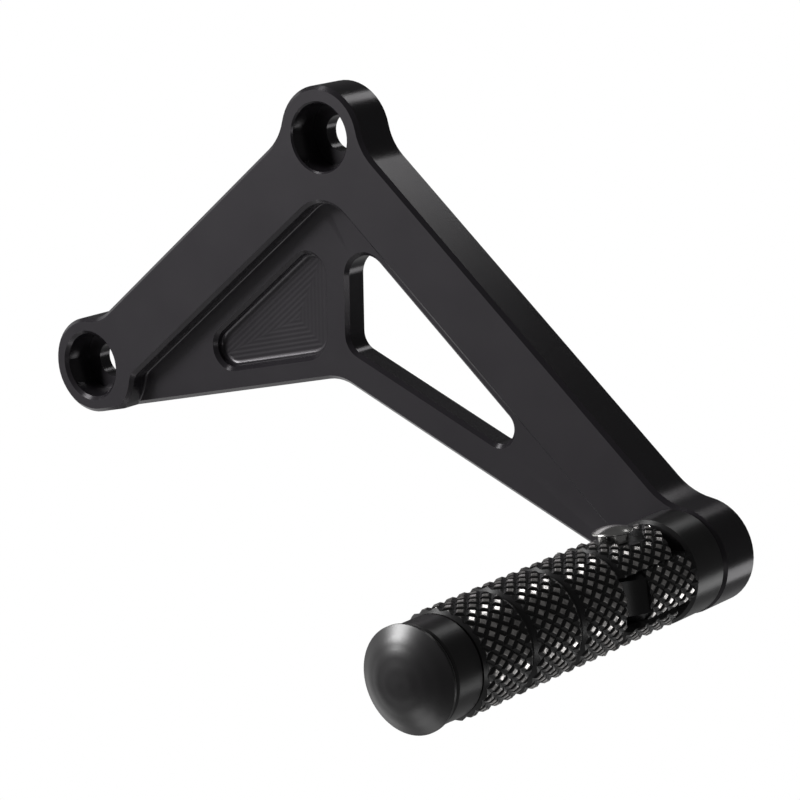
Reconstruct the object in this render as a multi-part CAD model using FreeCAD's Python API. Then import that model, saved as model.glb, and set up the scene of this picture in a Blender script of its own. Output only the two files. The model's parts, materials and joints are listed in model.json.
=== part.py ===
import FreeCAD, Part
import os
from math import acos, asin, atan2, ceil, cos, degrees, hypot, pi, radians, sin, sqrt, tan

# Passenger peg bracket: a milled plate with three bosses and a folding knurled peg.
# Millimetres. X right, Z up, the plate's back face on Y = 0 and its front towards -Y.
# The origin is the centre of the upper bolt hole, on the back face.

os.makedirs("parts", exist_ok=True)

# Plate
plate_thickness = 13.0
boss_radius = 13.35
rear_boss = (-84.9, -71.35)          # centre of the rear boss, (x, z)
peg_boss = (110.45, -94.05)          # centre of the boss that carries the peg
arm_outer_reach = 7.8                # arm's outer edge from the line between its bosses
rear_blend_radius = 12.0             # hollow curve from rear arm into the rear boss
upper_blend_radius = 14.2            # hollow curves beside the upper boss
peg_blend_radius = 17.0              # hollow curve from front arm into the peg boss
heel_point = (0.4, -64.5)            # where the two lower edges meet
heel_radius = 13.0
edge_chamfer = 1.0
back_edge_break = 0.4

# Lowered web between the arms
web_thickness = 7.25
rear_arm_inner_reach = 11.15         # step wall from the line between its bosses
front_arm_inner_reach = 10.0
step_corner_radius = 10.5
step_boss_radius = 15.9              # step wall round the lower bosses
step_blend_radius = 4.0
step_foot_fillet = 0.6

# Window through the web
window_left_x = 3.65
window_front_reach = 15.5            # window's long side from the front arm's line
strut_width = 9.2
window_top_radius = 6.3
window_tip_radius = 4.4
window_corner_radius = 5.1

# Blind pocket in the web
rib_width = 7.85                     # between the pocket's wall and the window's
pocket_rear_reach = 17.4             # pocket's long side from the rear arm's line
pocket_lower_margin = 6.6            # pocket's lower side from the web's lower edge
pocket_depth = 3.0
pocket_top_radius = 5.4
pocket_tip_radius = 5.4
pocket_corner_radius = 7.4
pocket_floor_fillet = 1.6

# Bolt holes in the upper and rear bosses
frame_hole_radius = 4.8
counterbore_radius = 9.0
counterbore_depth = 9.1
upper_mouth_chamfer = 0.45
rear_mouth_chamfer = 0.9

# Peg mount: collar, spigot and tongue in one turned and milled piece
peg_radius = 13.0
collar_length = 12.35
collar_rim_chamfer = 0.8
collar_heel_chamfer = 0.6
spigot_radius = peg_radius - 6.0
spigot_length = 3.0
tongue_thickness = 11.7
tongue_end_radius = peg_radius - 0.15   # rounded end about the pivot
tongue_edge_chamfer = 1.7
knurl_past_pivot = 5.2               # the tongue's knurled side ends this far past the pivot
pivot_from_collar = 13.45            # pivot pin's axis from the collar's front face
fork_tilt = 8.0                      # degrees that the pivot leans from upright
seat_clearance = 0.02                # spigot in its bore, dowel in its holes
seat_end_gap = 0.15                  # left at the bottom of a blind seat

# Diamond knurl of the tongue's sides and the folding peg
knurl_starts = 24
knurl_pitch = 4.6                    # along the peg, from diamond to diamond
knurl_depth = 0.62
knurl_clear = 0.5                    # how far cutting tools reach beyond the diamonds

# Screw, washer and dowel behind the peg boss
screw_radius = 4.0
screw_length = 20.0
screw_head_radius = 6.5
screw_head_height = 5.0
screw_socket_flats = 5.0
screw_socket_depth = 2.8
screw_clearance = 0.3
thread_clearance = 0.05
lock_washer_thickness = 1.2
lock_washer_radius = 6.7
head_sunk = 0.4                      # screw head below the plate's back face
head_bore_clearance = 0.6
dowel_radius = 1.5
dowel_length = 8.0
dowel_offset = peg_radius - 3.6      # dowel's axis from the peg's axis

# Folding peg
fold_gap = 0.1                       # each side between tongue and fork
slot_bottom_gap = 0.1                # between the tongue and the slot's bottom
collar_gap = 0.2                     # between the fork's turning ends and the collar
ear_end_radius = 17.0                # fork's flatter ends, within that turning circle
ear_end_length = 11.6                # fork's ends from the pivot
groove_offset = 0.4                  # first groove's middle in front of the slot's bottom
band_pitch = 18.65
band_count = 3
groove_width = 3.4
groove_depth = 1.2
peg_end_from_pivot = 69.2
peg_end_chamfer = 1.1
slot_edge_chamfer = 1.6              # along the lower ear only
spot_face_height = peg_radius - 2.15   # flat under the pin's head, from the peg's axis
spot_face_radius = 7.4
cap_bore_radius = peg_radius - 6.0
cap_bore_depth = 16.0

# End cap
cap_skirt_radius = peg_radius - 1.1
cap_skirt_length = 8.7
cap_skirt_round = 0.6
cap_groove_width = 2.0
cap_groove_depth = 0.45
cap_rim_radius = peg_radius - 0.54
cap_rim_width = 0.6
cap_dome_height = 4.0
dome_rings = 4                       # cones that make up a dome
cap_spigot_length = 14.0
cap_spigot_clearance = 0.05

# Pivot pin, pressed into a blind hole in the lower ear
pin_radius = 3.0
pin_clearance = 0.05                 # running fit in the tongue
pin_head_radius = 4.9
pin_head_height = 1.8
pin_head_flat = 0.5                  # straight rim under the head's dome
pin_neck_radius = 3.6
pin_neck_height = 2.45
pin_end_depth = peg_radius - 2.0     # pin's lower end, from the peg's axis
pin_end_chamfer = 0.5

# Places that follow from the sizes above
upper_boss = (0.0, 0.0)
plate_front = -plate_thickness
web_front = -web_thickness
collar_front = plate_front - collar_length
pivot_y = collar_front - pivot_from_collar
slot_half = tongue_thickness / 2 + fold_gap
knurl_corner = hypot(peg_radius, knurl_past_pivot)
slot_bottom = pivot_y - knurl_corner - slot_bottom_gap
peg_end = pivot_y - peg_end_from_pivot
screw_seat = head_sunk + screw_head_height + lock_washer_thickness
far = 200.0                          # well outside the part, for cutting tools


def vec(x, y, z):
    return FreeCAD.Vector(x, y, z)


Y_AXIS = vec(0, 1, 0)
Z_AXIS = vec(0, 0, 1)


def save(shape, name):
    """Check the node's solid and write its STEP file."""
    if len(shape.Solids) != 1 or not shape.isValid():
        raise RuntimeError(name + " is not one valid solid")
    shape.exportStep("parts/" + name + ".step")


# Flat geometry in the plate's plane, on (x, z) pairs
def add(a, b, share=1.0):
    return (a[0] + b[0] * share, a[1] + b[1] * share)


def minus(a, b):
    return (a[0] - b[0], a[1] - b[1])


def dot(a, b):
    return a[0] * b[0] + a[1] * b[1]


def unit(a):
    length = hypot(a[0], a[1])
    return (a[0] / length, a[1] / length)


def crossing(line_a, line_b):
    """The point where two lines meet; a line is (unit normal, offset)."""
    (na, oa), (nb, ob) = line_a, line_b
    det = na[0] * nb[1] - na[1] * nb[0]
    return ((oa * nb[1] - ob * na[1]) / det, (na[0] * ob - nb[0] * oa) / det)


def in_plane(point, y):
    return vec(point[0], y, point[1])


def line_edge(a, b, y):
    return Part.makeLine(in_plane(a, y), in_plane(b, y))


def arc_edge(centre, start, end, towards, y):
    """The arc from start to end that bulges in the direction towards."""
    radius = hypot(*minus(start, centre))
    middle = add(centre, unit(towards), radius)
    return Part.Arc(in_plane(start, y), in_plane(middle, y), in_plane(end, y)).toShape()


def rounded_polygon(corners, y):
    """A closed wire through corners, each ((x, z), radius); radius 0 stays sharp."""
    starts = []
    ends = []
    arcs = []
    count = len(corners)
    for i, (corner, radius) in enumerate(corners):
        to_last = unit(minus(corners[i - 1][0], corner))
        to_next = unit(minus(corners[(i + 1) % count][0], corner))
        half = acos(dot(to_last, to_next)) / 2
        reach = radius / tan(half)
        starts.append(add(corner, to_last, reach))
        ends.append(add(corner, to_next, reach))
        inwards = unit(add(to_last, to_next))
        arcs.append((add(corner, inwards, radius / sin(half)), (-inwards[0], -inwards[1])))
    edges = []
    for i in range(count):
        if corners[i][1] > 0:
            edges.append(arc_edge(arcs[i][0], starts[i], ends[i], arcs[i][1], y))
        edges.append(line_edge(ends[i], starts[(i + 1) % count], y))
    return Part.Wire(edges)


def prism(wire, y_from, y_to):
    face = Part.Face(wire)
    face.translate(vec(0, y_from, 0))
    return face.extrude(vec(0, y_to - y_from, 0))


def rod_y(centre, radius, y_from, y_to):
    """A round bar along Y."""
    base = in_plane(centre, min(y_from, y_to))
    return Part.makeCylinder(radius, abs(y_to - y_from), base, Y_AXIS)


def cone_y(centre, radius_from, radius_to, y_from, y_to):
    if y_to < y_from:
        radius_from, radius_to, y_from, y_to = radius_to, radius_from, y_to, y_from
    return Part.makeCone(radius_from, radius_to, y_to - y_from, in_plane(centre, y_from), Y_AXIS)


def edges_where(shape, test):
    return [edge for edge in shape.Edges if test(edge)]


def lies_on_y(edge, y, slack=0.001):
    return abs(edge.BoundBox.YMin - y) < slack and abs(edge.BoundBox.YMax - y) < slack


def chamfer_rim(shape, size, y):
    return shape.makeChamfer(size, edges_where(shape, lambda e: lies_on_y(e, y)))


# The lines that the plate is drawn on
def arm(boss):
    """Unit direction from the upper boss to this one, and the normal to the outside."""
    along = unit(minus(boss, upper_boss))
    outside = (-along[1], along[0])
    if outside[1] < 0:
        outside = (-outside[0], -outside[1])
    return along, outside


def boss_blend(boss, along, outside, radius):
    """Centre of the hollow curve that joins a boss to its arm's outer edge."""
    reach = arm_outer_reach + radius
    run = sqrt((boss_radius + radius) ** 2 - reach ** 2)
    return add(add(boss, outside, reach), along, run)


def lower_edge(boss):
    """The line from the heel that just touches the boss from below."""
    to_boss = minus(boss, heel_point)
    tilt = asin(boss_radius / hypot(*to_boss))
    heading = atan2(to_boss[1], to_boss[0]) + (tilt if boss[0] < heel_point[0] else -tilt)
    along = (cos(heading), sin(heading))
    normal = (along[1], -along[0])
    if normal[1] > 0:
        normal = (-normal[0], -normal[1])
    return normal, dot(heel_point, normal)


rear_along, rear_out = arm(rear_boss)
front_along, front_out = arm(peg_boss)
rear_lower = lower_edge(rear_boss)
front_lower = lower_edge(peg_boss)
plate_middle = add(rear_boss, peg_boss)
plate_middle = (plate_middle[0] / 3, plate_middle[1] / 3)


def plate_outline(y):
    """The plate's outer edge: three bosses, four hollow blends, two arms and the heel."""
    blends = [
        (upper_boss, front_along, front_out, upper_blend_radius),
        (peg_boss, (-front_along[0], -front_along[1]), front_out, peg_blend_radius),
        (rear_boss, (-rear_along[0], -rear_along[1]), rear_out, rear_blend_radius),
        (upper_boss, rear_along, rear_out, upper_blend_radius),
    ]
    on_arm = []
    on_boss = []
    curves = []
    for boss, along, outside, radius in blends:
        centre = boss_blend(boss, along, outside, radius)
        touch_arm = add(centre, outside, -radius)
        touch_boss = add(boss, unit(minus(centre, boss)), boss_radius)
        bulge = add(minus(touch_arm, centre), minus(touch_boss, centre))
        on_arm.append(touch_arm)
        on_boss.append(touch_boss)
        curves.append(arc_edge(centre, touch_arm, touch_boss, bulge, y))
    touch_peg = add(peg_boss, front_lower[0], boss_radius)
    touch_rear = add(rear_boss, rear_lower[0], boss_radius)
    heel_centre = crossing((rear_lower[0], rear_lower[1] + heel_radius),
                           (front_lower[0], front_lower[1] + heel_radius))
    heel_front = add(heel_centre, front_lower[0], -heel_radius)
    heel_rear = add(heel_centre, rear_lower[0], -heel_radius)
    bosses = [
        arc_edge(upper_boss, on_boss[3], on_boss[0], (0, 1), y),
        arc_edge(peg_boss, on_boss[1], touch_peg, minus(peg_boss, plate_middle), y),
        arc_edge(rear_boss, touch_rear, on_boss[2], minus(rear_boss, plate_middle), y),
    ]
    lines = [
        line_edge(on_arm[0], on_arm[1], y),
        line_edge(on_arm[3], on_arm[2], y),
        line_edge(touch_peg, heel_front, y),
        line_edge(heel_rear, touch_rear, y),
    ]
    heel = arc_edge(heel_centre, heel_front, heel_rear, (0, 1), y)
    return Part.Wire(Part.__sortEdges__(bosses + lines + curves + [heel]))


def inner_wall(outside, reach):
    """The line that lies a reach inside the line between an arm's bosses."""
    return ((-outside[0], -outside[1]), reach)


# Plate: one milled piece with three bosses, a lowered web, a window and a blind pocket
def step_tool():
    """Everything that is milled away to lower the web."""
    rear_wall = inner_wall(rear_out, rear_arm_inner_reach)
    front_wall = inner_wall(front_out, front_arm_inner_reach)
    corner = crossing(rear_wall, front_wall)
    outline = rounded_polygon([
        (corner, step_corner_radius),
        (add(corner, front_along, far), 0),
        (add(corner, (0, -1), 2 * far), 0),
        (add(corner, rear_along, far), 0),
    ], 0)
    tool = prism(outline, web_front, plate_front - far)
    for boss in (rear_boss, peg_boss):
        tool = tool.cut(rod_y(boss, step_boss_radius, far, -2 * far))
    keep = []
    upright = []
    for boss, along, wall in ((rear_boss, rear_along, rear_wall), (peg_boss, front_along, front_wall)):
        off = wall[1] - dot(boss, wall[0])
        run = sqrt(step_boss_radius ** 2 - off ** 2)
        keep.append(add(add(boss, wall[0], off), along, -run))
    for edge in tool.Edges:
        box = edge.BoundBox
        if box.YLength > far / 2 and min(hypot(box.XMin - x, box.ZMin - z) for x, z in keep) < 0.01:
            upright.append(edge)
    return tool.makeFillet(step_blend_radius, upright)


def window_tool():
    left = ((1.0, 0.0), window_left_x)
    long_side = inner_wall(front_out, window_front_reach)
    lower = (front_lower[0], front_lower[1] - strut_width)
    outline = rounded_polygon([
        (crossing(left, long_side), window_top_radius),
        (crossing(long_side, lower), window_tip_radius),
        (crossing(lower, left), window_corner_radius),
    ], 0)
    return prism(outline, far, -far)


def pocket_tool():
    right = ((1.0, 0.0), window_left_x - rib_width)
    long_side = inner_wall(rear_out, pocket_rear_reach)
    lower = (rear_lower[0], rear_lower[1] - pocket_lower_margin)
    outline = rounded_polygon([
        (crossing(right, long_side), pocket_top_radius),
        (crossing(right, lower), pocket_corner_radius),
        (crossing(lower, long_side), pocket_tip_radius),
    ], 0)
    floor_y = web_front + pocket_depth
    tool = prism(outline, floor_y, plate_front - far)
    return tool.makeFillet(pocket_floor_fillet, edges_where(tool, lambda e: lies_on_y(e, floor_y)))


def counterbore_tool(boss, mouth_chamfer):
    bore = rod_y(boss, counterbore_radius, plate_front - 1, plate_front + counterbore_depth)
    hole = rod_y(boss, frame_hole_radius, plate_front, 1)
    mouth = cone_y(boss, counterbore_radius, counterbore_radius + 2 * mouth_chamfer,
                   plate_front + mouth_chamfer, plate_front - mouth_chamfer)
    return bore.fuse(hole).fuse(mouth)


def peg_seat_tool():
    """Spigot bore in front, screw hole, and the sunk seat for the screw's head behind."""
    spigot = rod_y(peg_boss, spigot_radius + seat_clearance, plate_front - 1,
                   plate_front + spigot_length + seat_end_gap)
    hole = rod_y(peg_boss, screw_radius + screw_clearance, -far, far)
    head = rod_y(peg_boss, screw_head_radius + head_bore_clearance, 1, -screw_seat)
    return spigot.fuse(hole).fuse(head)


def dowel_hole(y_from, y_to):
    return rod_y(add(peg_boss, front_along, -dowel_offset), dowel_radius + seat_clearance, y_from, y_to)


def make_bracket():
    plate = prism(plate_outline(0), 0, plate_front)
    plate = plate.cut(step_tool())
    pocket = pocket_tool()
    plate = plate.cut(window_tool()).cut(pocket)
    rims = edges_where(plate, lambda e: lies_on_y(e, plate_front))
    on_web = edges_where(plate, lambda e: lies_on_y(e, web_front))
    web_rims = [e for e in on_web if is_outer_corner(plate, e)]
    plate = plate.makeChamfer(edge_chamfer, rims + web_rims)
    foot = edges_where(plate, lambda e: lies_on_y(e, web_front) and is_foot(plate, e))
    plate = plate.makeFillet(step_foot_fillet, foot)
    plate = chamfer_rim(plate, back_edge_break, 0)
    plate = plate.cut(counterbore_tool(upper_boss, upper_mouth_chamfer))
    plate = plate.cut(counterbore_tool(rear_boss, rear_mouth_chamfer))
    plate = plate.cut(peg_seat_tool())
    return plate.cut(dowel_hole(plate_front - 1, plate_front + dowel_length / 2 + seat_end_gap))


def solid_sides(shape, edge, y):
    """How many of four points close round the middle of an edge are in the solid."""
    middle = edge.valueAt((edge.FirstParameter + edge.LastParameter) / 2)
    near = 0.2
    around = [vec(near, y, 0), vec(-near, y, 0), vec(0, y, near), vec(0, y, -near)]
    return sum(shape.isInside(middle + step, 0.0001, False) for step in around)


def is_foot(shape, edge):
    """True along the foot of the step wall, where the solid goes on in front of the web."""
    return solid_sides(shape, edge, -0.1) > 0


def is_outer_corner(shape, edge):
    return not is_foot(shape, edge)


save(make_bracket(), "bracket")


# Knurl: two crossing sets of V grooves leave a pyramid on every diamond
def knurled_bar(y_from, y_to):
    """A bar knurled all over, from y_from outwards to y_to or just past it."""
    half_rows = 2 * ceil((y_from - y_to) / knurl_pitch)

    def point(i, j):
        radius = peg_radius if (i + j) % 2 else peg_radius - knurl_depth
        turn = pi * i / knurl_starts
        return in_plane(add(peg_boss, (cos(turn), sin(turn)), radius), y_from - j * knurl_pitch / 2)

    def triangle(a, b, c):
        return Part.Face(Part.makePolygon([a, b, c, a]))

    faces = []
    for j in range(half_rows + 1):
        for i in range(2 * knurl_starts):
            if (i + j) % 2 == 0:
                continue
            for beside in (i - 1, i + 1):
                for row in (j - 1, j + 1):
                    if 0 <= row <= half_rows:
                        faces.append(triangle(point(i, j), point(beside, j), point(i, row)))
    for j in (0, half_rows):
        rim = [point(i, j) for i in range(2 * knurl_starts)]
        faces.append(Part.Face(Part.makePolygon(rim + rim[:1])))
    shell = Part.makeShell(faces)
    shell.sewShape()
    return Part.makeSolid(Part.Shell(shell.Faces))


# Peg mount: a turned collar with a milled tongue in front and a spigot behind
def slab(half_thickness, y_from, y_to):
    """A slab cut from the knurled bar."""
    block = Part.makeBox(2 * far, abs(y_to - y_from), 2 * half_thickness,
                         vec(peg_boss[0] - far, min(y_from, y_to), peg_boss[1] - half_thickness))
    return knurled_bar(y_from, y_to).common(block)


def tilted(shape):
    """Turns a fork piece about the peg's axis, to the pivot's lean."""
    turned_shape = shape.copy()
    turned_shape.rotate(in_plane(peg_boss, 0), Y_AXIS, -fork_tilt)
    return turned_shape


def upright_puck(radius, half_height, chamfer):
    """A round block about the pivot pin's axis."""
    puck = Part.makeCylinder(radius, 2 * half_height,
                             vec(peg_boss[0], pivot_y, peg_boss[1] - half_height), Z_AXIS)
    if chamfer > 0:
        rims = [e for e in puck.Edges if e.BoundBox.ZLength < 0.001]
        puck = puck.makeChamfer(chamfer, rims)
    return puck


def make_peg_mount():
    half = tongue_thickness / 2
    collar = rod_y(peg_boss, peg_radius, plate_front, collar_front)
    collar = chamfer_rim(collar, collar_rim_chamfer, collar_front)
    collar = chamfer_rim(collar, collar_heel_chamfer, plate_front)
    stop_end = slot_bottom + slot_bottom_gap
    tongue = slab(half, collar_front + collar_rim_chamfer, stop_end)
    # the side that the peg folds to is rounded about the pivot, the other one is a square stop
    straight = Part.makeBox(2 * peg_radius, far, 2 * peg_radius,
                            vec(peg_boss[0] - peg_radius, pivot_y - knurl_past_pivot,
                                peg_boss[1] - peg_radius))
    square_half = Part.makeBox(peg_radius, far, 2 * peg_radius,
                               vec(peg_boss[0] - peg_radius, stop_end, peg_boss[1] - peg_radius))
    keep = upright_puck(tongue_end_radius, half, tongue_edge_chamfer).fuse(straight).fuse(square_half)
    tongue = tongue.common(keep)
    spigot = rod_y(peg_boss, spigot_radius, plate_front - 1, plate_front + spigot_length)
    mount = collar.fuse(tongue).fuse(spigot)
    thread = rod_y(peg_boss, screw_radius + thread_clearance, 0, -screw_seat - screw_length)
    mount = mount.cut(thread)
    mount = tilted(mount.cut(pivot_bore(pin_clearance, far)))
    return mount.cut(dowel_hole(plate_front + 1, plate_front - dowel_length / 2 - seat_end_gap))


def pivot_bore(clearance, depth):
    """The hole for the pivot pin, from above to a depth below the peg's axis."""
    foot = vec(peg_boss[0], pivot_y, peg_boss[1] - depth)
    return Part.makeCylinder(pin_radius + clearance, far + depth, foot, Z_AXIS)


save(make_peg_mount(), "peg_mount")


# Low-head socket screw that holds the mount from behind, its washer and the dowel
def make_mount_screw():
    head = rod_y(peg_boss, screw_head_radius, -head_sunk, -head_sunk - screw_head_height)
    head = chamfer_rim(head, back_edge_break, -head_sunk)
    end = -screw_seat - screw_length + seat_end_gap
    shank = rod_y(peg_boss, screw_radius, -head_sunk - 1, end)
    shank = chamfer_rim(shank, screw_radius / 5, end)
    corner = screw_socket_flats / 2 / cos(pi / 6)
    points = [in_plane(add(peg_boss, (cos(a * pi / 3), sin(a * pi / 3)), corner), 0) for a in range(6)]
    socket = prism(Part.makePolygon(points + points[:1]), 0, -head_sunk - screw_socket_depth)
    return head.fuse(shank).cut(socket)


def make_lock_washer():
    back = -head_sunk - screw_head_height
    ring = rod_y(peg_boss, lock_washer_radius, back, back - lock_washer_thickness)
    return ring.cut(rod_y(peg_boss, screw_radius + screw_clearance, 1, -far))


def make_dowel():
    centre = add(peg_boss, front_along, -dowel_offset)
    pin = rod_y(centre, dowel_radius, plate_front - dowel_length / 2, plate_front + dowel_length / 2)
    ends = edges_where(pin, lambda e: e.BoundBox.YLength < 0.001)
    return pin.makeChamfer(dowel_radius / 5, ends)


save(make_mount_screw(), "mount_screw")
save(make_lock_washer(), "lock_washer")
save(make_dowel(), "mount_dowel")


# Folding peg: round bar with three grooves, a fork at one end and the cap's bore at the other
def peg_profile():
    """Half section that the knurled bar is turned to, as (radius, y) points."""
    outside = peg_radius + knurl_clear
    tips = pivot_y + ear_end_length
    points = [(0, tips), (outside, tips)]
    for i in range(band_count):
        middle = slot_bottom + groove_offset - i * band_pitch
        mouth = groove_width / 2 + knurl_clear
        floor = groove_width / 2 - groove_depth
        points.append((outside, middle + mouth))
        points.append((peg_radius - groove_depth, middle + floor))
        points.append((peg_radius - groove_depth, middle - floor))
        points.append((outside, middle - mouth))
    points.append((outside, peg_end + peg_end_chamfer + knurl_clear))
    points.append((peg_radius - peg_end_chamfer, peg_end))
    points.append((0, peg_end))
    return points


def turned(points):
    """Revolve a half section of (radius, y) points about the peg's axis."""
    corners = [vec(peg_boss[0] + r, y, peg_boss[1]) for r, y in points]
    face = Part.Face(Part.makePolygon(corners + corners[:1]))
    return face.revolve(in_plane(peg_boss, 0), Y_AXIS, 360)


def fork_slot():
    """The gap for the tongue, with chamfers along the lower ear's long edges."""
    length = pivot_y + ear_end_length + 1 - slot_bottom
    gap = Part.makeBox(4 * peg_radius, length, 2 * slot_half,
                       vec(peg_boss[0] - 2 * peg_radius, slot_bottom, peg_boss[1] - slot_half))
    edge_x = sqrt(peg_radius ** 2 - (slot_half + slot_edge_chamfer) ** 2)
    for side in (-1, 1):
        corners = [(edge_x - 2 * slot_edge_chamfer, slot_half - slot_edge_chamfer),
                   (edge_x + slot_edge_chamfer, slot_half - slot_edge_chamfer),
                   (edge_x + slot_edge_chamfer, slot_half + 2 * slot_edge_chamfer)]
        points = [vec(peg_boss[0] + side * x, slot_bottom, peg_boss[1] - z) for x, z in corners]
        wedge = Part.Face(Part.makePolygon(points + points[:1])).extrude(vec(0, length, 0))
        gap = gap.fuse(wedge)
    return gap


def make_peg_barrel():
    bar = knurled_bar(pivot_y + ear_end_length + knurl_clear, peg_end).common(turned(peg_profile()))
    tips = Part.makeBox(2 * far, far, 2 * far, vec(peg_boss[0] - far, pivot_y, peg_boss[1] - far))
    turning_circle = upright_puck(pivot_from_collar - collar_gap, far, 0)
    end_round = upright_puck(ear_end_radius, far, 0)
    end_round.translate(vec(0, ear_end_length - ear_end_radius, 0))
    bar = bar.cut(tips.cut(turning_circle.common(end_round)))
    bar = bar.cut(fork_slot())
    bar = bar.cut(pivot_bore(seat_clearance, pin_end_depth + seat_end_gap))
    seat = vec(peg_boss[0], pivot_y, peg_boss[1] + spot_face_height)
    bar = bar.cut(Part.makeCylinder(spot_face_radius, far, seat, Z_AXIS))
    return tilted(bar.cut(rod_y(peg_boss, cap_bore_radius, peg_end - 1, peg_end + cap_bore_depth)))


save(make_peg_barrel(), "peg_barrel")


# End cap: a turned plug with a skirt, a fine groove and a domed face
def dome(radius, height):
    """Half section of a dome from its rim to its crown, as (radius, rise) points on one arc."""
    arc_radius = (radius ** 2 + height ** 2) / (2 * height)
    rim_angle = asin(radius / arc_radius)
    points = []
    for i in range(dome_rings + 1):
        angle = rim_angle * (1 - i / dome_rings)
        points.append((arc_radius * sin(angle), height - arc_radius * (1 - cos(angle))))
    return points


def make_end_cap():
    rim_y = peg_end - cap_skirt_length - cap_groove_width
    rim_front = rim_y - cap_rim_width
    spigot = cap_bore_radius - cap_spigot_clearance
    return turned([
        (0, peg_end + cap_spigot_length), (spigot, peg_end + cap_spigot_length), (spigot, peg_end),
        (cap_skirt_radius - cap_skirt_round, peg_end), (cap_skirt_radius, peg_end - cap_skirt_round),
        (cap_skirt_radius, peg_end - cap_skirt_length),
        (cap_skirt_radius - cap_groove_depth, peg_end - cap_skirt_length - cap_groove_width / 3),
        (cap_rim_radius - cap_groove_depth, rim_y + cap_groove_width / 3),
        (cap_rim_radius, rim_y),
    ] + [(r, rim_front - rise) for r, rise in dome(cap_rim_radius, cap_dome_height)])


save(make_end_cap(), "end_cap")


# Pivot pin with a neck and a domed head
def make_pivot_pin():
    head_foot = spot_face_height + pin_neck_height
    rim = head_foot + pin_head_flat
    points = [
        (0, -pin_end_depth), (pin_radius - pin_end_chamfer, -pin_end_depth),
        (pin_radius, pin_end_chamfer - pin_end_depth), (pin_radius, spot_face_height),
        (pin_neck_radius, spot_face_height), (pin_neck_radius, head_foot), (pin_head_radius, head_foot),
    ] + [(r, rim + rise) for r, rise in dome(pin_head_radius, pin_head_height - pin_head_flat)]
    corners = [vec(peg_boss[0] + r, pivot_y, peg_boss[1] + h) for r, h in points]
    face = Part.Face(Part.makePolygon(corners + corners[:1]))
    return face.revolve(vec(peg_boss[0], pivot_y, 0), Z_AXIS, 360)


save(tilted(make_pivot_pin()), "pivot_pin")
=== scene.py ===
import json
from math import cos, pi, radians, sin

import bmesh
import bpy
from mathutils import Matrix, Vector

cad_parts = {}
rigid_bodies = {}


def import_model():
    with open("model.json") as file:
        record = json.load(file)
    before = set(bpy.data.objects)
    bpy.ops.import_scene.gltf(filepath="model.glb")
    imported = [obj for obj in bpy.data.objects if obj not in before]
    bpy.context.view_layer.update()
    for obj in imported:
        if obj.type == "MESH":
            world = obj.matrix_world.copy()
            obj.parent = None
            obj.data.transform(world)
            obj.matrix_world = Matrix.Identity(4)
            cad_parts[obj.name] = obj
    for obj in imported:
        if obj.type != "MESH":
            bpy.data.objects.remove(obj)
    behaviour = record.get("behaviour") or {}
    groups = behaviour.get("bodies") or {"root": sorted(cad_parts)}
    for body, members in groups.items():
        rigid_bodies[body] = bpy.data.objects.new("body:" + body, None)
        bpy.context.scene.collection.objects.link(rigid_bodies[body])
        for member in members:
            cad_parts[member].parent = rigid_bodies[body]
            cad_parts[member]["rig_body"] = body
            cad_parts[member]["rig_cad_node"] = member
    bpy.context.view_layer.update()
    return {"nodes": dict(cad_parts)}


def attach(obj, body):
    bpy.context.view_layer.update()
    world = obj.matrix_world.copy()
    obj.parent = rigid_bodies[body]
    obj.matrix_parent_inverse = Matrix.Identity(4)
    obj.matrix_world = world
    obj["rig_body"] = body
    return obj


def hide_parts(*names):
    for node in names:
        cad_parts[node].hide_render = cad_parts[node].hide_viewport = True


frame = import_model()


# Bracket: a plate with three bosses, milled from one block of aluminium and black anodised.
# Its mesh is the CAD solid's, joined up so that round walls shade smoothly, and the pocket's
# floor keeps the cutter's path, three-cornered rings that follow the pocket's walls inwards.
MM = 0.001
POCKET_FLOOR_Y = -4.25 * MM
RING_STEP = 1.25 * MM
RING_HEIGHT = 0.015 * MM
# the rings start 2.2 mm inside the pocket's walls, past the rounded foot
RINGS_INSIDE = (-2.2 * MM, -1.4 * MM)
# outward normal (x, z) of each wall of the pocket, and its distance from the origin in mm
POCKET_WALLS = ((1.0, 0.0, -4.2), (-0.6434, 0.7655, -17.4), (0.2403, -0.9707, 57.09))


def select_only(piece):
    bpy.ops.object.select_all(action="DESELECT")
    piece.select_set(True)
    bpy.context.view_layer.objects.active = piece


def smooth(piece, angle=28):
    """Smooth shading, with a crease where faces meet at more than this many degrees."""
    select_only(piece)
    if piece.data.has_custom_normals:
        bpy.ops.mesh.customdata_custom_splitnormals_clear()
    bpy.ops.object.shade_smooth_by_angle(angle=radians(angle))


def merged_copy(node, name):
    """A copy of a CAD node's mesh with its triangles joined and its round faces smooth."""
    piece = frame["nodes"][node].copy()
    piece.data = piece.data.copy()
    piece.name = name
    piece.parent = None
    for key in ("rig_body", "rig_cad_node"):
        del piece[key]
    bpy.context.scene.collection.objects.link(piece)
    select_only(piece)
    bpy.ops.object.mode_set(mode="EDIT")
    bpy.ops.mesh.select_all(action="SELECT")
    bpy.ops.mesh.remove_doubles(threshold=0.002 * MM)
    bpy.ops.object.mode_set(mode="OBJECT")
    smooth(piece)
    return piece


def finish_piece(piece, material, body, node):
    """Gives a finished piece its material and ties it to the CAD body and node it stands for."""
    piece.data.materials.clear()
    piece.data.materials.append(material)
    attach(piece, body)
    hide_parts(node)


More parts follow.
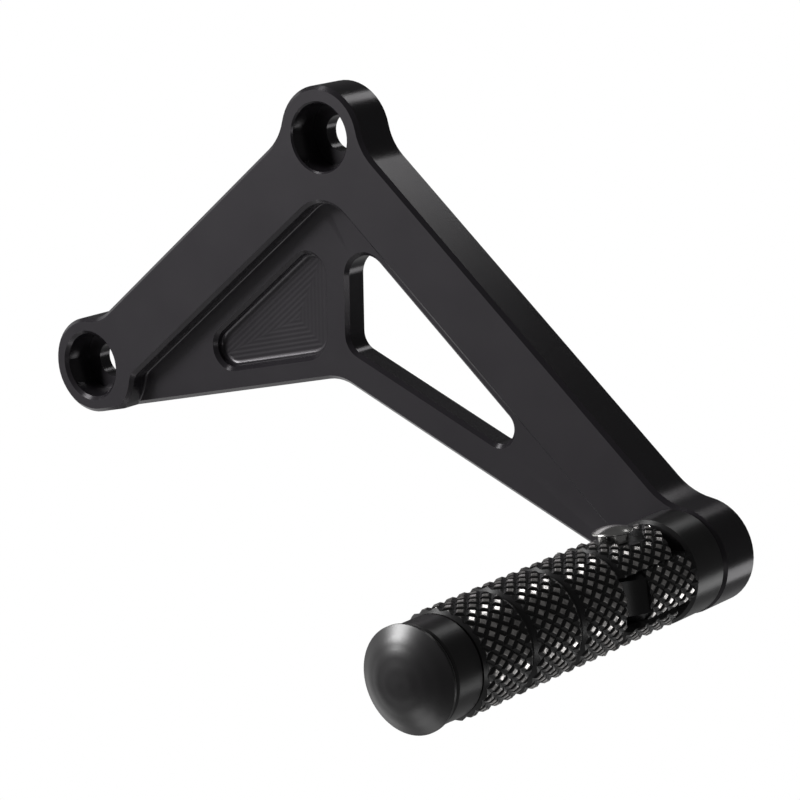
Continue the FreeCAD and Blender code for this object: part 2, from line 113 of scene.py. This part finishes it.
class Field:
    """A number that varies over a surface. Sums and products of fields become Math nodes."""

    def __init__(self, tree, socket=None):
        self.tree = tree
        self.socket = socket

    def node(self, kind, settings=None, inputs=None, output=0):
        """Adds a node, sets it up, feeds its sockets with values or fields, returns an output."""
        made = self.tree.nodes.new(kind)
        for key, value in (settings or {}).items():
            setattr(made, key, value)
        for key, value in (inputs or {}).items():
            if isinstance(value, Field):
                self.tree.links.new(value.socket, made.inputs[key])
            else:
                made.inputs[key].default_value = value
        return Field(self.tree, made.outputs[output])

    def maths(self, operation, *values):
        return self.node("ShaderNodeMath", {"operation": operation}, dict(enumerate(values)))

    def __add__(self, other):
        return self.maths("ADD", self, other)

    __radd__ = __add__

    def __sub__(self, other):
        return self.maths("SUBTRACT", self, other)

    def __rsub__(self, other):
        return self.maths("SUBTRACT", other, self)

    def __mul__(self, other):
        return self.maths("MULTIPLY", self, other)

    __rmul__ = __mul__

    def step(self, low, high):
        """0 below low, 1 above high, and smooth in between."""
        return self.node("ShaderNodeMapRange", {"interpolation_type": "SMOOTHSTEP"},
                         {"Value": self, "From Min": low, "From Max": high})

    def mix(self, colour_a, colour_b):
        """Colour a where this field is 0, colour b where it is 1."""
        return self.node("ShaderNodeMix", {"data_type": "RGBA"},
                         {"Factor": self, "A": colour_a, "B": colour_b}, output="Result")


def new_material(name):
    """A material with an empty Principled shader: (material, shader, a field to build with)."""
    material = bpy.data.materials.new(name)
    material.use_nodes = True
    shader = material.node_tree.nodes["Principled BSDF"]
    return material, shader, Field(material.node_tree)


def feed(shader, socket, field):
    shader.id_data.links.new(field.socket, shader.inputs[socket])


def place(field):
    """The object's own coordinates, in metres."""
    return field.node("ShaderNodeTexCoord", output="Object")


def split(where):
    """The x, y and z of a place or a direction."""
    return [where.node("ShaderNodeSeparateXYZ", inputs={"Vector": where}, output=i) for i in range(3)]


def noise(where, size):
    """Cloudy noise, 0 to 1, with features about this many metres across."""
    return where.node("ShaderNodeTexNoise", {"noise_dimensions": "3D"},
                      {"Vector": where, "Scale": 1 / size, "Detail": 2.0}, output="Fac")


def bump(height):
    """Surface relief from a height in metres."""
    return height.node("ShaderNodeBump", inputs={"Strength": 1.0, "Distance": 1.0, "Height": height},
                       output="Normal")


def plate_material():
    """Black anodised aluminium: a fine bead-blasted grain and the pocket's cutter rings."""
    material, shader, field = new_material("black_anodised_plate")
    where = place(field)
    x, y, z = split(where)
    clouds = noise(where, 14 * MM)
    grain = noise(where, 0.35 * MM)
    feed(shader, "Base Color", clouds.mix((0.013, 0.0115, 0.014, 1), (0.0175, 0.016, 0.0185, 1)))
    # the faces are satin, and the milled walls and edges round them are glossier
    facing = split(field.node("ShaderNodeTexCoord", output="Normal"))
    satin = field.maths("ABSOLUTE", facing[1]).step(0.75, 0.98)
    # how far beyond each wall a place is, below 0 inside; the nearest wall decides the ring
    right, long_side, lower = [x * a + z * b - offset * MM for a, b, offset in POCKET_WALLS]
    beyond = field.maths("MAXIMUM", field.maths("MAXIMUM", right, long_side), lower)
    on_floor = field.maths("COMPARE", y, POCKET_FLOOR_Y, 0.06 * MM) * (1 - beyond.step(*RINGS_INSIDE))
    rings = field.maths("SINE", beyond * (2 * pi / RING_STEP)) * on_floor
    feed(shader, "Normal", bump(grain * satin * (0.003 * MM) + rings * RING_HEIGHT))
    feed(shader, "Roughness", 0.2 + satin * 0.14 + clouds * 0.05 + grain * satin * 0.03)
    shader.inputs["Metallic"].default_value = 0.0
    shader.inputs["Specular Tint"].default_value = (0.99, 0.95, 1, 1)
    return material


plate = merged_copy("bracket", "milled_bracket")
finish_piece(plate, plate_material(), "bracket", "bracket")


# Peg mount and folding peg: turned aluminium bars, cut all over with a diamond knurl, then
# grooved, slotted and milled. The CAD solids have the knurl as pointed diamonds, and here
# each point is cut off and raised to a flat pad, as the knurling wheel leaves it.
PEG_X = 110.45 * MM
PEG_Z = -94.05 * MM
PEG_RADIUS = 13 * MM
KNURL_END_Y = -26.2 * MM
PAD_RADIUS = 12.96 * MM
# how much of each edge of a diamond its pad takes, in per cent
PAD_SHARE = 42
# the rubbed metal begins on the diamonds' flanks and is full on the pads
RUBBED_RADII = (12.76 * MM, 12.9 * MM)


def from_axis(point):
    return Vector((point.x - PEG_X, 0, point.z - PEG_Z)).length


def flatten_diamonds(piece):
    """Turns each point of the knurl into a flat pad, just inside the bar's round."""
    select_only(piece)
    bpy.ops.object.mode_set(mode="EDIT")
    bpy.ops.mesh.select_mode(type="VERT")
    bpy.ops.mesh.select_all(action="DESELECT")
    mesh = bmesh.from_edit_mesh(piece.data)
    for vertex in mesh.verts:
        at_full_radius = abs(from_axis(vertex.co) - PEG_RADIUS) < 0.01 * MM
        vertex.select_set(at_full_radius and vertex.co.y < KNURL_END_Y)
    bpy.ops.mesh.bevel(affect="VERTICES", offset_type="PERCENT", offset_pct=PAD_SHARE)
    mesh = bmesh.from_edit_mesh(piece.data)
    pads = [from_axis(vertex.co) for vertex in mesh.verts if vertex.select]
    grow = PAD_RADIUS / (sum(pads) / len(pads))
    bpy.ops.transform.resize(value=(grow, 1, grow), center_override=(PEG_X, 0, PEG_Z))
    bpy.ops.object.mode_set(mode="OBJECT")
    smooth(piece, 22)
    return piece


def knurl_material():
    """Black anodised knurl with its pads rubbed down to bright metal, more in some patches."""
    material, shader, field = new_material("black_anodised_knurl")
    where = place(field)
    x, y, z = split(where)
    across = x - PEG_X
    up = z - PEG_Z
    radius = field.maths("SQRT", across * across + up * up)
    knurled = 1 - y.step(KNURL_END_Y, KNURL_END_Y + 0.1 * MM)
    tip = radius.step(*RUBBED_RADII) * knurled
    wear = noise(where, 2.2 * MM).step(0.36, 0.6)
    grain = noise(where, 0.25 * MM)
    rubbed = tip * (0.35 + wear * 0.65)
    feed(shader, "Base Color", rubbed.mix((0.012, 0.0115, 0.012, 1), (0.8, 0.77, 0.75, 1)))
    feed(shader, "Metallic", rubbed)
    feed(shader, "Roughness", 0.26 + grain * 0.08 - tip * 0.12)
    feed(shader, "Normal", bump(grain * (0.006 * MM)))
    return material


knurled_black = knurl_material()
barrel = flatten_diamonds(merged_copy("peg_barrel", "folding_peg"))
finish_piece(barrel, knurled_black, "peg", "peg_barrel")
mount = flatten_diamonds(merged_copy("peg_mount", "knurled_mount"))
finish_piece(mount, knurled_black, "bracket", "peg_mount")


# End cap: a turned aluminium plug with a domed face, pressed into the peg's outer end and
# anodised dark, smooth enough to show the studio light as one soft patch.
def cap_material():
    material, shader, field = new_material("dark_anodised_cap")
    where = place(field)
    clouds = noise(where, 9 * MM)
    grain = noise(where, 0.2 * MM)
    feed(shader, "Base Color", clouds.mix((0.014, 0.013, 0.014, 1), (0.02, 0.019, 0.02, 1)))
    feed(shader, "Roughness", 0.3 + grain * 0.06)
    feed(shader, "Normal", bump(grain * (0.003 * MM)))
    return material


cap = merged_copy("end_cap", "domed_end_cap")
finish_piece(cap, cap_material(), "peg", "end_cap")


# Pivot pin: bright turned steel with a polished, domed head on a short neck. It stands in the
# peg's fork and goes through the mount's tongue, and the peg folds on it. Its edges are
# broken, and here they get a small round.
def steel_material(name, colour, roughness):
    """Bare or blackened steel, with a fine grain and slightly uneven in colour and gloss."""
    material, shader, field = new_material(name)
    where = place(field)
    smear = noise(where, 2.5 * MM)
    grain = noise(where, 0.15 * MM)
    dark = tuple(c * 0.8 for c in colour)
    feed(shader, "Base Color", smear.mix((*dark, 1), (*colour, 1)))
    feed(shader, "Roughness", roughness + smear * 0.08)
    feed(shader, "Normal", bump(grain * (0.002 * MM)))
    shader.inputs["Metallic"].default_value = 1.0
    return material


def round_sharp_edges(piece, width):
    select_only(piece)
    bpy.ops.object.mode_set(mode="EDIT")
    bpy.ops.mesh.select_mode(type="EDGE")
    bpy.ops.mesh.select_all(action="DESELECT")
    bpy.ops.mesh.edges_select_sharp(sharpness=radians(35))
    bpy.ops.mesh.bevel(offset=width, segments=3)
    bpy.ops.object.mode_set(mode="OBJECT")
    smooth(piece, 40)


pin = merged_copy("pivot_pin", "pivot_pin_domed")
round_sharp_edges(pin, 0.22 * MM)
bright_steel = steel_material("bright_steel", (0.75, 0.74, 0.72), 0.16)
finish_piece(pin, bright_steel, "peg", "pivot_pin")


# Mount screw, lock washer and dowel: behind the plate, a low-head hexagon socket screw in black
# oxide steel pulls the mount against the plate, and a steel dowel keeps it from turning.
plain_steel = steel_material("plain_steel", (0.42, 0.41, 0.4), 0.35)
black_oxide = steel_material("black_oxide_steel", (0.05, 0.05, 0.055), 0.4)
screw = merged_copy("mount_screw", "mount_socket_screw")
finish_piece(screw, black_oxide, "bracket", "mount_screw")
washer = merged_copy("lock_washer", "screw_washer")
finish_piece(washer, plain_steel, "bracket", "lock_washer")
dowel = merged_copy("mount_dowel", "mount_dowel_pin")
finish_piece(dowel, plain_steel, "bracket", "mount_dowel")


# Studio: a pale floor and a white backdrop that light the part only dimly, and soft lamps:
# large, weak ones all round and towards the floor, and small, strong ones that put the
# highlights on the cap, the knurl and the round edges.
BACKDROP_LIGHT = 0.07


def studio_floor():
    bpy.ops.object.select_all(action="DESELECT")
    bpy.ops.mesh.primitive_plane_add(size=8, location=(0, 0, -0.75))
    floor = bpy.context.object
    floor.name = "studio_floor"
    material, shader, field = new_material("pale_floor")
    patches = noise(place(field), 0.4)
    feed(shader, "Base Color", patches.mix((0.56, 0.56, 0.56, 1), (0.6, 0.6, 0.6, 1)))
    shader.inputs["Roughness"].default_value = 0.9
    white = material.node_tree.nodes.new("ShaderNodeEmission")
    white.inputs["Strength"].default_value = 1.0
    seen = field.node("ShaderNodeLightPath", output="Is Camera Ray")
    blend = material.node_tree.nodes.new("ShaderNodeMixShader")
    links = material.node_tree.links
    links.new(seen.socket, blend.inputs["Fac"])
    links.new(shader.outputs["BSDF"], blend.inputs[1])
    links.new(white.outputs["Emission"], blend.inputs[2])
    links.new(blend.outputs["Shader"], material.node_tree.nodes["Material Output"].inputs["Surface"])
    floor.data.materials.append(material)


studio_floor()
world = bpy.data.worlds.new("studio")
bpy.context.scene.world = world
world.use_nodes = True
surround = Field(world.node_tree)
to_camera = surround.node("ShaderNodeLightPath", output="Is Camera Ray")
through_glass = surround.node("ShaderNodeLightPath", output="Is Transmission Ray")
shown = surround.maths("MAXIMUM", to_camera, through_glass)
backdrop = world.node_tree.nodes["Background"]
backdrop.inputs["Color"].default_value = (1, 1, 1, 1)
feed(backdrop, "Strength", BACKDROP_LIGHT + shown * (1 - BACKDROP_LIGHT))


def softbox(name, turn, rise, distance, width, height, glow):
    """A lamp that faces the part from an angle, from -Y towards +X, and a rise, in degrees."""
    middle = Vector((0.03, -0.04, -0.06))
    turn, rise = radians(turn), radians(rise)
    towards = Vector((sin(turn) * cos(rise), -cos(turn) * cos(rise), sin(rise)))
    bpy.ops.object.light_add(type="AREA", location=middle + towards * distance)
    lamp = bpy.context.object
    lamp.name = name
    lamp.data.shape = "RECTANGLE"
    lamp.data.size = width
    lamp.data.size_y = height
    lamp.data.energy = glow * pi * width * height
    lamp.rotation_euler = (-towards).to_track_quat("-Z", "Y").to_euler()


softbox("left_window", -88, 0, 1.1, 0.9, 1.0, 0.55)
softbox("cap_lamp", -45, 25, 1.0, 0.34, 0.34, 30)
softbox("top_lamp", -61, 49, 0.9, 0.25, 0.25, 6)
softbox("right_lamp", 53, -17, 1.0, 0.14, 0.2, 4)
softbox("front_fill", -38, -8, 1.3, 1.0, 0.7, 0.26)
softbox("pocket_lamp", -4, -55, 0.7, 0.26, 0.3, 2)
softbox("table_left", -103, -42, 0.75, 0.55, 0.45, 0.65)
softbox("table_back", -150, -28, 1.0, 0.9, 0.5, 0.1)
softbox("back_fill", 180, -8, 1.3, 1.0, 0.6, 0.6)
softbox("back_top_strip", 182, 40, 0.9, 0.2, 0.12, 3.4)
softbox("back_low_strip", 148, -25, 0.9, 0.26, 0.2, 2.2)


# Camera: where the photograph was taken from, fitted to the plate's and the peg's edges. It is
# 38 degrees to the right, 14 degrees above and rolled by one degree.
camera_turn = radians(38.408)
camera_rise = radians(14.013)
camera_roll = radians(-1.014)
camera_place = (0.49737, -0.60862, 0.12389)
bpy.ops.object.camera_add()
camera = bpy.context.object
camera.data.lens = 137.35
camera.data.sensor_width = 36
camera.data.clip_start = 0.01
turned = Matrix.Rotation(camera_turn, 4, "Z") @ Matrix.Rotation(pi / 2 - camera_rise, 4, "X")
rolled = Matrix.Rotation(camera_roll, 4, "Z")
camera.matrix_world = Matrix.Translation(camera_place) @ turned @ rolled
bpy.context.scene.camera = camera
bpy.context.scene.view_settings.view_transform = "Standard"
